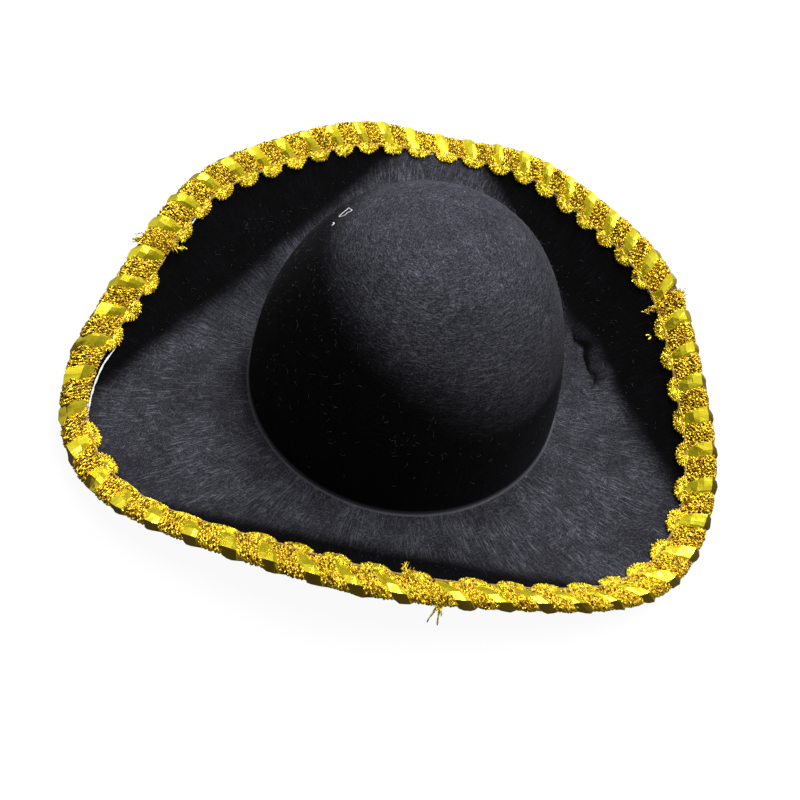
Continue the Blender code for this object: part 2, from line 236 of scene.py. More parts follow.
class Shape:
    """Gathers the points and faces of one piece. data holds (cosine, sine, length) along a yarn."""

    def __init__(self):
        self.points = []
        self.faces = []
        self.data = []
        self.count = 0

    def add(self, points, faces, data=None):
        self.points.append(points)
        self.faces.extend(tuple(self.count + i for i in face) for face in faces)
        self.data.append(np.zeros_like(points) if data is None else data)
        self.count += len(points)

    def tube(self, path, radius, sides=6):
        """A round yarn along a path, with closed ends."""
        count = len(path)
        radius = np.broadcast_to(np.asarray(radius, float), (count,))[:, None, None]
        tangent = np.gradient(path, axis=0)
        tangent /= np.linalg.norm(tangent, axis=1, keepdims=True) + 1e-12
        across = np.cross(tangent, [0.0, 0.0, 1.0])
        upright = np.linalg.norm(across, axis=1) < 1e-3
        across[upright] = np.cross(tangent[upright], [1.0, 0.0, 0.3])
        across /= np.linalg.norm(across, axis=1, keepdims=True)
        up = np.cross(across, tangent)
        turn = np.arange(sides) * 2 * math.pi / sides
        cosine, sine = np.cos(turn), np.sin(turn)
        ring = path[:, None, :] + radius * cosine[None, :, None] * across[:, None, :]
        ring = ring + radius * sine[None, :, None] * up[:, None, :]
        points = np.concatenate([ring.reshape(-1, 3), path[:1], path[-1:]])
        length = np.concatenate([[0], np.cumsum(np.linalg.norm(np.diff(path, axis=0), axis=1))])
        data = np.stack([np.tile(cosine, count), np.tile(sine, count), np.repeat(length, sides)], axis=-1)
        data = np.concatenate([data, [[0, 0, 0]], [[0, 0, length[-1]]]])
        faces = grid_faces(count, sides, True)
        first_cap, last_cap = count * sides, count * sides + 1
        last = (count - 1) * sides
        for side in range(sides):
            other = (side + 1) % sides
            faces.append((first_cap, other, side))
            faces.append((last_cap, last + side, last + other))
        self.add(points, faces, data)

    def slab(self, top, bottom):
        """Two grids of the same shape, joined around their borders into one closed solid."""
        rows, columns = top.shape[:2]
        size = rows * columns
        faces = grid_faces(rows, columns)
        faces += [tuple(size + i for i in reversed(face)) for face in faces]
        border = list(range(columns))
        border += [row * columns + columns - 1 for row in range(1, rows)]
        border += [(rows - 1) * columns + column for column in range(columns - 2, -1, -1)]
        border += [row * columns for row in range(rows - 2, 0, -1)]
        for here, there in zip(border, border[1:] + border[:1]):
            faces.append((there, here, size + here, size + there))
        self.add(np.concatenate([top.reshape(-1, 3), bottom.reshape(-1, 3)]), faces)

    def finish(self, name, material, slot, *cad_nodes, body=BODY):
        """Makes the piece, which rides on a body and replaces CAD nodes; its material slot is not used."""
        mesh = bpy.data.meshes.new(name)
        mesh.from_pydata(np.concatenate(self.points), [], self.faces)
        attribute = mesh.attributes.new("yarn_place", "FLOAT_VECTOR", "POINT")
        attribute.data.foreach_set("vector", np.concatenate(self.data).astype(np.float32).ravel())
        mesh.shade_smooth()
        mesh.materials.append(material)
        piece = bpy.data.objects.new(name, mesh)
        bpy.context.scene.collection.objects.link(piece)
        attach(piece, body)
        if cad_nodes:
            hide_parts(*cad_nodes)
        return piece


def grid_faces(rows, columns, closed_columns=False):
    """The four-sided faces of a grid of points, counted row by row."""
    faces = []
    for row in range(rows - 1):
        for column in range(columns if closed_columns else columns - 1):
            other = (column + 1) % columns
            here, beyond = row * columns, (row + 1) * columns
            faces.append((here + column, here + other, beyond + other, beyond + column))
    return faces


def smooth_noise(points, size, seed):
    """Smooth noise in -1..1 at points, from a few seeded waves of about this size."""
    source = np.random.RandomState(seed)
    waves = 9
    total = np.zeros(len(points))
    for _ in range(waves):
        direction = source.normal(size=3)
        direction /= np.linalg.norm(direction)
        phase = source.uniform(0, 2 * math.pi)
        scale = size * source.uniform(0.7, 1.5)
        total += np.sin(points @ direction * 2 * math.pi / scale + phase)
    return total * 2 / waves


# ---- materials


class Nodes:
    """The node tree of a material or a world, with short ways to add and join nodes."""

    def __init__(self, name, owner=None):
        self.owner = owner or bpy.data.materials.new(name)
        self.owner.use_nodes = True
        self.tree = self.owner.node_tree

    def node(self, kind, inputs=(), **settings):
        """A shader node, with values or links for its inputs by name or number, and its settings."""
        node = self.tree.nodes.new("ShaderNode" + kind)
        for key, value in settings.items():
            setattr(node, key, value)
        for key, value in dict(inputs).items():
            self.feed(node.inputs[key], value)
        return node

    def feed(self, socket, value):
        if isinstance(value, bpy.types.NodeSocket):
            self.tree.links.new(value, socket)
        elif socket.type == "RGBA":
            socket.default_value = (*value, 1.0)
        else:
            socket.default_value = value

    def math(self, operation, first, second=0.0, clamp=False):
        node = self.node("Math", {0: first, 1: second}, operation=operation, use_clamp=clamp)
        return node.outputs[0]

    def plus(self, first, second, clamp=False):
        return self.math("ADD", first, second, clamp)

    def times(self, first, second):
        return self.math("MULTIPLY", first, second)

    def blend(self, share, first, second):
        """From the first number to the second."""
        return self.node("Mix", {0: share, 2: first, 3: second}, data_type="FLOAT").outputs[0]

    def mix(self, share, first, second):
        """From the first colour to the second."""
        return self.node("Mix", {0: share, 6: first, 7: second}, data_type="RGBA").outputs[2]

    def ramp(self, value, low, high, bottom=0.0, top=1.0):
        """bottom below low, top above high, smooth between. low may be the larger one."""
        inputs = {"Value": value, "From Min": low, "From Max": high, "To Min": bottom, "To Max": top}
        return self.node("MapRange", inputs, interpolation_type="SMOOTHSTEP").outputs[0]

    def split(self, vector):
        return self.node("SeparateXYZ", {0: vector}).outputs

    def join(self, x, y, z):
        return self.node("CombineXYZ", {0: x, 1: y, 2: z}).outputs[0]

    def red(self, colour):
        return self.node("SeparateColor", {0: colour}).outputs[0]

    def vector(self, operation, first, second=(0.0, 0.0, 0.0), scale=1.0):
        inputs = {0: first, 1: second, 3: scale}
        return self.node("VectorMath", inputs, operation=operation).outputs[0]

    def place(self, kind="Object"):
        return self.node("TexCoord").outputs[kind]

    def stretched(self, scale, turn):
        """The object's own coordinates, turned about the upright axis and then scaled."""
        inputs = {"Vector": self.place(), "Angle": turn}
        turned = self.node("VectorRotate", inputs, rotation_type="Z_AXIS")
        return self.vector("MULTIPLY", turned.outputs[0], scale)

    def normal(self):
        return self.node("NewGeometry").outputs["Normal"]

    def noise(self, vector, scale=1.0, detail=2.0, rough=0.5, distortion=0.0):
        inputs = {"Vector": vector, "Scale": scale, "Detail": detail, "Roughness": rough}
        inputs["Distortion"] = distortion
        return self.node("TexNoise", inputs).outputs["Fac"]

    def cloud(self, scale, detail=2.0, rough=0.5):
        return self.noise(self.place(), scale, detail, rough)

    def cells(self, scale, feature="F1"):
        inputs = {"Vector": self.place(), "Scale": scale}
        return self.node("TexVoronoi", inputs, feature=feature).outputs

    def bump(self, height, distance, strength=1.0, normal=None):
        inputs = {"Height": height, "Distance": distance, "Strength": strength}
        if normal is not None:
            inputs["Normal"] = normal
        return self.node("Bump", inputs).outputs[0]

    def around_axis(self):
        """Cosine and sine of the angle around the crown's axis, the distance from it, and the height."""
        x, y, z = self.split(self.place())
        y = self.math("SUBTRACT", y, AXIS_Y)
        radius = self.math("SQRT", self.plus(self.times(x, x), self.times(y, y)))
        radius = self.plus(radius, 1e-5)
        return self.math("DIVIDE", x, radius), self.math("DIVIDE", y, radius), radius, z

    def yarn_twist(self, turns_per_metre):
        """A wave that winds around a yarn."""
        x, y, z = self.split(self.node("Attribute", attribute_name="yarn_place").outputs["Vector"])
        return self.math("SINE", self.plus(self.math("ARCTAN2", y, x), self.times(z, turns_per_metre)))

    def for_camera(self, hidden, seen):
        """One shader for the camera's own rays and another for all other rays."""
        by_camera = self.node("LightPath").outputs["Is Camera Ray"]
        inputs = {"Fac": by_camera, 1: hidden.outputs[0], 2: seen.outputs[0]}
        return self.node("MixShader", inputs).outputs[0]

    def surface(self, colour, rough, normal, **more):
        """Sets the material's own shader, and gives the material."""
        shader = self.tree.nodes["Principled BSDF"]
        inputs = {"Base Color": colour, "Roughness": rough, "Normal": normal}
        inputs.update({key.replace("_", " "): value for key, value in more.items()})
        for key, value in inputs.items():
            self.feed(shader.inputs[key], value)
        return self.owner


def felt_fibres(n):
    """How much the pale tips of fibres show: brushed outward on the brim and in rings on the crown."""
    cosine, sine, radius, height = n.around_axis()
    brim_layers = []
    for scale, patches in ((150, 45.0), (190, 70.0)):
        outward = n.join(n.times(cosine, scale), n.times(sine, scale), n.times(radius, 130.0))
        streak = n.ramp(n.noise(outward, 1.0, 3.0, 0.6, 0.4), 0.50, 0.72)
        brim_layers.append(n.times(streak, n.ramp(n.cloud(patches, 1.0), 0.36, 0.62)))
    brushed_brim = n.math("MAXIMUM", *brim_layers)
    meridian = n.math("SUBTRACT", n.times(height, 1.2), radius)
    rings = n.join(n.times(cosine, 15.0), n.times(sine, 15.0), n.times(meridian, 800.0))
    brushed_crown = n.ramp(n.noise(rings, 1.0, 3.0, 0.6, 1.4), 0.46, 0.74)
    brushed = n.blend(n.ramp(height, *NAP_CHANGE), brushed_brim, brushed_crown)
    strays = None
    for index, turn in enumerate((0.2, 0.95, 1.75, 2.55)):
        streak = n.ramp(n.noise(n.stretched((190, 1250, 1250), turn), 1.0, 3.0, 0.6, 0.35), 0.55, 0.74)
        patch = n.ramp(n.noise(n.stretched((1, 1, 1), turn), 52.0 + 11 * index, 1.0), 0.42, 0.64)
        layer = n.times(streak, patch)
        strays = layer if strays is None else n.math("MAXIMUM", strays, layer)
    fine = n.ramp(n.cloud(1300.0, 2.0, 0.65), 0.42, 0.78)
    mixed = n.plus(n.times(brushed, 0.6), n.times(strays, 0.6))
    return n.plus(mixed, n.times(fine, 0.35), clamp=True)


def felt_material():
    """Brushed black felt, with painted light: its nap is painted pale where the surface faces up, and deep
    black on the slopes, as in shade.
    """
    n = Nodes("black_felt")
    cover = felt_fibres(n)
    _, _, radius, height = n.around_axis()
    facing_right, _, upright = n.split(n.normal())
    # Painted light and shade: pale where the surface faces up, on the crown also where it faces right, black
    # on the slopes.
    painted_light_brim = n.ramp(upright, 0.83, 0.97)
    painted_light_crown = n.ramp(n.plus(upright, n.times(facing_right, 0.30)), 0.36, 0.68)
    flat = n.blend(n.ramp(height, *NAP_CHANGE), painted_light_brim, painted_light_crown)
    blotch = n.ramp(n.cloud(26.0, 3.0), 0.3, 0.75)
    # The painted light, broken up by random blotches, takes both the felt's ground and its fibre tips from
    # shaded black to lit pale.
    painted_light = n.times(flat, n.plus(n.times(blotch, 0.35), 0.65))
    base = n.mix(painted_light, (0.0005, 0.0005, 0.0006), (0.014, 0.014, 0.018))
    tips = n.mix(painted_light, (0.0042, 0.0042, 0.0055), (0.150, 0.152, 0.188))
    colour = n.mix(cover, base, tips)
    # A painted highlight: a thin pale ring where the crown's foot folds into the brim, as the crease catches
    # the light.
    crease = n.math("SUBTRACT", radius, CROWN_RADIUS + 0.6 * MM)
    painted_crease_highlight = n.times(n.ramp(n.math("ABSOLUTE", crease), 1.3 * MM, 0.3 * MM), n.ramp(height, 8 * MM, 5 * MM))
    colour = n.mix(n.times(painted_crease_highlight, 0.6), colour, (0.10, 0.10, 0.125))
    specks = n.cells(85.0)
    speck = n.times(n.ramp(specks["Distance"], 0.042, 0.022), n.ramp(n.red(specks["Color"]), 0.78, 0.86))
    colour = n.mix(speck, colour, (0.30, 0.31, 0.34))
    sheen = {"Sheen_Weight": 0.02, "Sheen_Roughness": 0.4, "Sheen_Tint": (0.62, 0.66, 0.85)}
    normal = n.bump(n.times(cover, 0.8), 0.4 * MM, 0.8)
    return n.surface(colour, 0.95, normal, Specular_IOR_Level=0.05, **sheen)


def yarn_material(name, bright, deep, metal=0.7, rough=0.36):
    """Metallic yarn: a strip wound around a core, whose small facets are tilted each their own way and
    coloured with painted glints and shade.
    """
    n = Nodes(name)
    winding = n.yarn_twist(6000.0)
    facets = n.cells(800.0)["Color"]
    # Painted glints and shade: each facet, and the winding, is coloured from the deep colour to the bright
    # one; the facets' normals are also tilted.
    share = n.plus(n.times(n.red(facets), 0.75), n.times(n.cloud(520.0), 0.4))
    share = n.plus(share, n.times(winding, 0.10), clamp=True)
    colour = n.mix(n.ramp(share, 0.22, 0.72), deep, bright)
    tilt = n.vector("SCALE", n.vector("SUBTRACT", facets, (0.5, 0.5, 0.5)), scale=1.1)
    facing = n.vector("NORMALIZE", n.vector("ADD", n.normal(), tilt))
    return n.surface(colour, rough, n.bump(winding, 0.12 * MM, 0.5, facing), Metallic=metal)


def foil_material():
    """Metallised film, mirror bright with faint crinkles, with painted shade in dark olive on its facets that
    face out from the crown, where it turns over the brim's edge.
    """
    n = Nodes("gold_foil_film")
    crinkle = n.cloud(260.0, 3.0, 0.6)
    creases = n.cloud(900.0)
    colour = n.mix(n.ramp(crinkle, 0.3, 0.65), (0.95, 0.72, 0.015), (1.0, 0.90, 0.045))
    # Painted shade: facets that face out from the crown, over the brim's edge, are coloured dark olive.
    x, y, _ = n.split(n.place())
    facing_x, facing_y, _ = n.split(n.normal())
    outward = n.plus(n.times(x, facing_x), n.times(y, facing_y))
    painted_shade_outward = n.ramp(n.plus(outward, n.times(crinkle, 0.08)), 0.115, 0.175)
    colour = n.mix(painted_shade_outward, colour, (0.20, 0.13, 0.012))
    fine_creases = n.times(creases, 0.15)
    normal = n.bump(n.plus(crinkle, fine_creases), 0.4 * MM, 0.3)
    return n.surface(colour, n.plus(fine_creases, 0.16), normal, Metallic=0.75)


def thread_material(name, light, deep):
    """Twisted matt thread."""
    n = Nodes(name)
    share = n.plus(n.times(n.yarn_twist(6000.0), 0.3), n.cloud(2500.0), clamp=True)
    colour = n.mix(share, deep, light)
    return n.surface(colour, 0.75, n.bump(share, 0.1 * MM, 0.6), Sheen_Weight=0.2)


def glue_material():
    """Dried white glue: a milky, slightly waxy skin."""
    n = Nodes("dried_glue")
    cloud = n.cloud(300.0, 3.0)
    colour = n.mix(cloud, (0.62, 0.62, 0.60), (0.88, 0.88, 0.86))
    return n.surface(colour, 0.35, n.bump(cloud, 0.3 * MM, 0.4), Subsurface_Weight=0.1)


def backing_material():
    """Resin-stiffened non-woven: matted fibres pressed flat, with a faint mesh of bond points."""
    n = Nodes("stiffened_backing")
    strands = n.ramp(n.cells(420.0, "DISTANCE_TO_EDGE")["Distance"], 0.12, 0.0)
    fine = n.ramp(n.noise(n.stretched((300, 1400, 900), 0.6), 1.0, 3.0), 0.5, 0.75)
    share = n.plus(n.times(strands, 0.45), n.times(n.cloud(60.0, 4.0), 0.35))
    share = n.plus(share, n.times(fine, 0.4), clamp=True)
    colour = n.mix(share, (0.008, 0.008, 0.009), (0.070, 0.070, 0.076))
    return n.surface(colour, 0.8, n.bump(share, 0.3 * MM, 0.7), Sheen_Weight=0.08)


def ribbon_material():
    """Black grosgrain: silky weft on raised ribs."""
    n = Nodes("grosgrain_ribbon")
    weave = n.noise(n.stretched((900, 900, 2600), 0.0))
    colour = n.mix(weave, (0.006, 0.006, 0.007), (0.040, 0.040, 0.044))
    normal = n.bump(weave, 0.15 * MM, 0.6)
    return n.surface(colour, 0.45, normal, Sheen_Weight=0.1, Specular_IOR_Level=0.4)


def label_material():
    """White woven tape: a plain weave of fine threads, unprinted."""
    n = Nodes("label_tape")
    x, _, z = n.split(n.place())
    warp, weft = (n.math("SINE", n.times(value, 9000.0)) for value in (x, z))
    height = n.plus(n.times(n.times(warp, weft), 0.5), 0.5)
    share = n.plus(n.times(height, 0.6), n.times(n.cloud(180.0, 3.0), 0.4))
    colour = n.mix(share, (0.58, 0.57, 0.54), (0.82, 0.81, 0.78))
    return n.surface(colour, 0.7, n.bump(height, 0.12 * MM, 0.7), Sheen_Weight=0.2)


# ---- felt and backing


def body_profile(angle, crown_rows, brim_rows):
    """(radius, height) of the outer face in rows from the top of the crown to the felt's edge."""
    turn = np.linspace(math.pi / 2, 0.0, crown_rows + 1)[:-1][:, None] + 0 * angle[None, :]
    crown_r = CROWN_RADIUS * np.clip(np.cos(turn), 0, 1) ** (2 / CROWN_SIDE_POWER)
    crown_z = CREASE_HEIGHT + CROWN_HEIGHT * np.sin(turn) ** (2 / CROWN_TOP_POWER)
    share = np.linspace(0.0, 1.0, brim_rows)[:, None]
    brim_r = CROWN_RADIUS + (outline(angle)[None, :] - CROWN_RADIUS) * share
    return np.concatenate([crown_r, brim_r]), np.concatenate([crown_z, brim_height(brim_r, angle)])


def inset(radius, height, distance):
    """A profile moved into the hat's underside, row by row, with mitred corners."""
    normal = np.stack([np.diff(height, axis=0), -np.diff(radius, axis=0)])
    normal /= np.hypot(*normal) + 1e-12
    before = np.concatenate([normal[:, :1], normal], axis=1)
    after = np.concatenate([normal, normal[:, -1:]], axis=1)
    move = (before + after) * distance / (1 + (before * after).sum(axis=0))
    return np.maximum(radius + move[0], 0.0), height + move[1]


def wrinkle(radius, angle):
    """The pinched crease in the felt at the right of the crown, as a height."""
    span = np.exp(-(((in_degrees(angle) - 72) / 13) ** 4))
    line = (119 + 1.3 * np.sin(angle * 34) + 0.8 * np.sin(angle * 61 + 1)) * MM
    gap = (radius - line) / (1.6 * MM)
    bulge = (radius - line - 6 * MM) / (5 * MM)
    return span * (0.5 * np.exp(-bulge * bulge) - 0.60 * np.exp(-gap * gap)) * MM


def moulded_body(name, top_depth, bottom_depth, material, cad_node, slot):
    """One moulded layer of crown and brim as a closed skin."""
    columns, crown_rows, brim_rows = 420, 90, 64
    angle = np.linspace(0, 2 * math.pi, columns, endpoint=False)
    radius, height = body_profile(angle, crown_rows, brim_rows)
    shape = Shape()
    skins = []
    for depth in (top_depth, bottom_depth):
        r, z = inset(radius, height, depth)
        r[0] = 0.0
        if depth == 0.0:
            z = z + wrinkle(r, angle)
        points = place(r, z, angle)
        ripple = smooth_noise(points.reshape(-1, 3), 60 * MM, 3)
        small = smooth_noise(points.reshape(-1, 3), 16 * MM, 5)
        points[..., 2] += (0.25 * MM * ripple + 0.08 * MM * small).reshape(r.shape)
        points[..., 2] = np.maximum(points[..., 2], 0.0)
        points[..., 0] += CROWN_LEAN * smooth_step(z, LEAN_START, CREASE_HEIGHT + CROWN_HEIGHT)
        skins.append(np.concatenate([points[0].mean(axis=0)[None, :], points[1:].reshape(-1, 3)]))
    rows = crown_rows + brim_rows
    size = len(skins[0])
    faces = []
    edge = 1 + (rows - 2) * columns
    for column in range(columns):
        other = (column + 1) % columns
        faces.append((0, 1 + column, 1 + other))
        faces.append((size, size + 1 + other, size + 1 + column))
    for face in grid_faces(rows - 1, columns, True):
        faces.append(tuple(1 + i for i in reversed(face)))
        faces.append(tuple(size + 1 + i for i in face))
    for column in range(columns):
        other = (column + 1) % columns
        faces.append((edge + other, edge + column, size + edge + column, size + edge + other))
    shape.add(np.concatenate(skins), faces)
    shape.finish(name, material, slot, cad_node)


# ---- trim


def ends(label):
    """Where one length of trim starts and ends along the edge."""
    return (length_at(angle) for angle in TRIM_LENGTHS[label])


def repeats(label):
    """Middles of the foil windows along one length of trim, and the size of one repeat."""
    start, end = ends(label)
    pitch, first = REPEATS[label]
    count = int((end - start) / pitch - first + 0.65)
    return [start + (index + first) * pitch for index in range(count)], pitch


def slant_at(along):
    angle = np.mod(angle_at(along) - SLANT_ANGLES[0], 2 * math.pi) + SLANT_ANGLES[0]
    return float(np.interp(angle, SLANT_ANGLES, SLANTS))


def wave(value, period, phase):
    return np.sin(value * 2 * math.pi / period + phase)


def gimp_bar(shape, middle, pitch, source):
    """The crimped yarns that cross the braid from one stitch line to the other, around the fold."""
    slant = slant_at(middle)
    across = np.linspace(-1, 1, 88) * (STITCH_ACROSS + 1 * MM)
    near_stitch = (np.abs(across) / STITCH_ACROSS) ** 4
    for side in np.linspace(-1, 1, BAR_YARNS):
        turn, knot, drift = (source.uniform(0, 6.3) for _ in range(3))
        crimp = source.uniform(1.9, 2.7) * MM
        along = middle - slant * across + side * BAR_WIDTH * pitch * (1 + 0.4 * near_stitch)
        along = along + 0.42 * MM * wave(across, crimp, turn) + 0.3 * MM * wave(across, 7 * MM, drift)
        lift = 1.0 * MM + 0.6 * MM * (1 - side * side) * (1 - near_stitch)
        lift = lift + 0.40 * MM * wave(across, crimp, turn + 1.6)
        thick = 0.64 * MM * (1 + 0.30 * wave(across, source.uniform(1.6, 2.1) * MM, knot))
        shape.tube(trim_place(along, across, lift), thick, 5)


def braid_ground(label, material):
    """The dark woven base under the yarns, from one stitch line to the other."""
    start, end = ends(label)
    start, end = start + 0.5 * MM, end - 0.5 * MM
    along = np.linspace(start, end, int((end - start) / (3.3 * MM)))[:, None]
    across = np.linspace(-1, 1, 19)[None, :] * STITCH_ACROSS
    shape = Shape()
    shape.slab(trim_place(along, across, 0.85 * MM), trim_place(along, across, 0.5 * MM))
    shape.finish(f"braid_ground_{label}", material, "gold_yarn")


def braid(label, material):
    """The bars of one length of trim, one between each two foil windows and one at each end."""
    source = random.Random(f"braid {label}")
    windows, pitch = repeats(label)
    _, end = ends(label)
    shape = Shape()
    for middle in windows + [windows[-1] + pitch]:
        bar = middle - pitch / 2
        if bar < end - 0.15 * pitch:
            gimp_bar(shape, bar + source.uniform(-0.6, 0.6) * MM, pitch, source)
    shape.finish(f"braid_yarns_{label}", material, "gold_yarn", f"braid_{label}")


def foil_window(shape, middle, pitch, source):
    """One crossing of the foil tape: a puffed strip in flat facets, which dives down at both ends."""
    half = source.uniform(0.20, 0.255) * pitch
    stations = 10
    across = np.linspace(-1, 1, stations)[:, None] * (STITCH_ACROSS - 0.5 * MM)
    side = np.array([-1.0, -0.78, -0.30, 0.28, 0.76, 1.0])[None, :]
    puff = np.array([0.0, 1.15, 1.85, 1.85, 1.15, 0.0])[None, :]
    jitter = np.array([source.uniform(-1, 1) for _ in range(6 * stations)]).reshape(stations, 6)
    sway = np.array([source.uniform(-0.10, 0.10) for _ in range(6 * stations)]).reshape(stations, 6)
    jitter[:, (0, 5)] = 0
    sway[:, (0, 5)] = 0
    dive = 1 - smooth_step(np.abs(across), STITCH_ACROSS - 6.5 * MM, STITCH_ACROSS - 1.5 * MM)
    beyond_fold = smooth_step(across, -1 * MM, 5 * MM)
    narrow = 0.70 + 0.30 * dive
    along = middle - slant_at(middle) * across + (side + sway) * half * narrow
    lift = 0.75 + 0.45 * dive + (puff + 0.42 * jitter) * (0.25 + 0.75 * dive) + 0.35 * beyond_fold * dive
    shape.slab(trim_place(along, across, lift * MM), trim_place(along, across, (lift - 0.15) * MM))


def foil(label, material):
    """The foil windows of one length of trim."""
    source = random.Random(f"foil {label}")
    windows, pitch = repeats(label)
    shape = Shape()
    for middle in windows:
        foil_window(shape, middle + source.uniform(-0.7, 0.7) * MM, pitch, source)
    piece = shape.finish(f"foil_tape_{label}", material, "gold_foil", f"foil_{label}")
    piece.data.shade_flat()


def scallop_fan(shape, middle, pitch, side, depth, source):
    """One scallop: a fan of narrow yarn loops from the stitch line out to a half-round edge."""
    for loop in range(SCALLOP_LOOPS):
        turn = math.radians(-86 + 172 * (loop + 0.5) / SCALLOP_LOOPS)
        reach = source.uniform(0.93, 1.06)
        tip_along = SCALLOP_WIDTH * pitch * math.sin(turn) * reach
        tip_across = depth * math.cos(turn) * reach
        size = math.hypot(tip_along, tip_across)
        steps = np.linspace(-1, 1, 21)
        forward = 1 - np.abs(steps) ** 3
        sideways = 0.66 * MM * np.sign(steps) * (1 - forward ** 8)
        share = 0.15 + 0.85 * forward
        along = middle + tip_along * share + tip_across / size * sideways
        across = SCALLOP_ROOT + tip_across * share - tip_along / size * sideways
        turn_wave, knot = source.uniform(0, 6.3), source.uniform(0, 6.3)
        lift = 1.1 * MM + 0.6 * MM * np.sin(forward * math.pi) + 0.3 * MM * wave(steps, 0.28, turn_wave)
        thick = 0.58 * MM * (1 + 0.32 * wave(steps, 0.30, knot))
        shape.tube(trim_place(along, side * across, lift), thick, 5)


def scallop_ground(shape, middle, pitch, side, depth):
    """The thin dark base under one scallop's loops."""
    turn = np.linspace(-math.pi / 2, math.pi / 2, 13)[None, :]
    share = np.linspace(0.05, 0.93, 4)[:, None]
    along = middle + SCALLOP_WIDTH * pitch * np.sin(turn) * share
    across = side * (SCALLOP_ROOT + depth * np.cos(turn) * share)
    shape.slab(trim_place(along, across, 0.8 * MM), trim_place(along, across, 0.5 * MM))


def scallops(label, side, face, yarn, ground):
    """One row of scallops, on the brim's inner (-1) or outer (1) side."""
    source = random.Random(f"scallops {face} {label}")
    windows, pitch = repeats(label)
    start, end = ends(label)
    loops, base = Shape(), Shape()
    for middle in [windows[0] - pitch] + windows:
        centre = middle - side * slant_at(middle) * (STITCH_ACROSS + SCALLOP_DEPTH / 2)
        if side < 0 and tucked(angle_at(centre)) > 0.5:
            continue
        if start + 0.4 * pitch < centre < end - 0.3 * pitch:
            depth = SCALLOP_DEPTH * (1 - 0.65 * curled(angle_at(centre)) * (side < 0))
            scallop_fan(loops, centre, pitch, side, depth, source)
            scallop_ground(base, centre, pitch, side, depth)
    base.finish(f"scallop_ground_{face}_{label}", ground, "gold_yarn")
    loops.finish(f"scallop_loops_{face}_{label}", yarn, "gold_yarn", f"scallops_{face}_{label}")


def stitch_line(label, side, face, material):
    """The chain stitch over the joint between bars and scallops: two strands that cross at each stitch."""
    start, end = ends(label)
    along = np.linspace(start + 1 * MM, end - 1 * MM, int((end - start) / STITCH_LENGTH) * 6)
    shape = Shape()
    for phase in (0.0, math.pi):
        across = 0.36 * MM * wave(along, STITCH_LENGTH, phase) + 0.3 * MM * wave(along, 45 * MM, 0)
        across = across + side * STITCH_ACROSS
        lift = 1.65 * MM + 0.24 * MM * wave(along, STITCH_LENGTH, phase + math.pi / 2)
        if side < 0:
            lift = lift - 1.1 * MM * tucked(angle_at(along))
        shape.tube(trim_place(along, across, lift), 0.27 * MM, 5)
    shape.finish(f"stitch_thread_{face}_{label}", material, "beige_thread", f"stitch_{face}_{label}")


def trim_directions(along, across):
    """At a place on the trim: the point, the direction along the edge, and the direction out of the trim."""
    here = trim_place(along, across, 1.2 * MM)
    ahead = trim_place(along + 1 * MM, across, 1.2 * MM) - here
    out = trim_place(along, across, 2.2 * MM) - here
    return here, ahead / np.linalg.norm(ahead), out / np.linalg.norm(out)


def frayed_ends(label, angle, material, tail):
    """Cut yarns that spring out where two lengths of trim butt together, and a few longer ones that hang."""
    source = random.Random(f"frayed {label}")
    middle = length_at(angle)
    slant = slant_at(middle)
    shape = Shape()
    for end in range(46):
        places = (source.uniform(-23, -15), source.uniform(-15, 4), source.uniform(-4, 4))
        across = source.choice(places) * MM
        direction = source.choice((-1, 1))
        start = middle - slant * across - direction * source.uniform(0.0, 2.5) * MM
        here, ahead, out = trim_directions(start, across)
        length, fall, bulk = source.uniform(3.0, 6.5) * MM, 0.2, 1.0
        if end < 7:
            length, fall, bulk = source.uniform(0.6, 1.0) * tail, 0.5, 1.5
        aside = np.cross(ahead, out)
        heading = direction * ahead * source.uniform(0.2, 0.9) + out * source.uniform(0.5, 1.1)
        heading = heading + aside * source.uniform(-0.9, 0.9)
        heading = heading / np.linalg.norm(heading)
        share = np.linspace(0, 1, 12)[:, None]
        curl = source.uniform(0.5, 1.2) * MM
        turn = source.uniform(0, 6.3)
        curls = aside * np.sin(share * 6 + turn) + out * np.cos(share * 5 + turn)
        path = here + heading * length * share + curls * curl * share
        path[:, 2] -= length * fall * share[:, 0] ** 2
        thick = source.uniform(0.34, 0.55) * MM * (1 + 0.3 * np.sin(share[:, 0] * 22 + turn))
        shape.tube(path, bulk * thick * (1 - 0.5 * share[:, 0]), 5)
    shape.finish(f"yarn_ends_{label}", material, "gold_yarn")


def fleck(material):
    """A crumb of gold yarn that lies on the felt beside the right splice."""
    turn = np.linspace(0, 3.4, 14)
    angle = math.radians(71.6) + 0.010 * np.cos(turn)
    radius = 153 * MM + 1.6 * MM * np.sin(turn) + 0.5 * MM * np.sin(2 * turn)
    shape = Shape()
    height = brim_height(radius, angle) + 0.7 * MM
    shape.tube(place(radius, height, angle), 0.55 * MM * (1 + 0.3 * np.sin(turn * 4)))
    shape.finish("gold_fleck", material, "gold_yarn")


def glue(label, material):
    """The smear of glue under the trim, with a wandering inner edge."""
    start, end = ends(label)
    count = int((end - start) / (2.5 * MM))
    along = np.linspace(start + 2 * MM, end - 2 * MM, count)[:, None]
    share = np.linspace(0, 1, 9)[None, :]
    width = 11.0 * MM + 1.2 * MM * wave(along, 37 * MM, 1) + 0.7 * MM * wave(along, 11 * MM, 2)
    across = -(HALF_FOLD + 2 * MM + width * share)
    crown = np.sqrt(np.clip(1 - (2 * share - 1) ** 2, 0, 1))
    top = trim_place(along, across, (0.12 + 0.28 * crown) * MM, 0.0)
    bottom = trim_place(along, across, 0.06 * MM, 0.0)
    shape = Shape()
    shape.slab(top, bottom)
    shape.finish(f"glue_smear_{label}", material, "glue", f"glue_{label}")


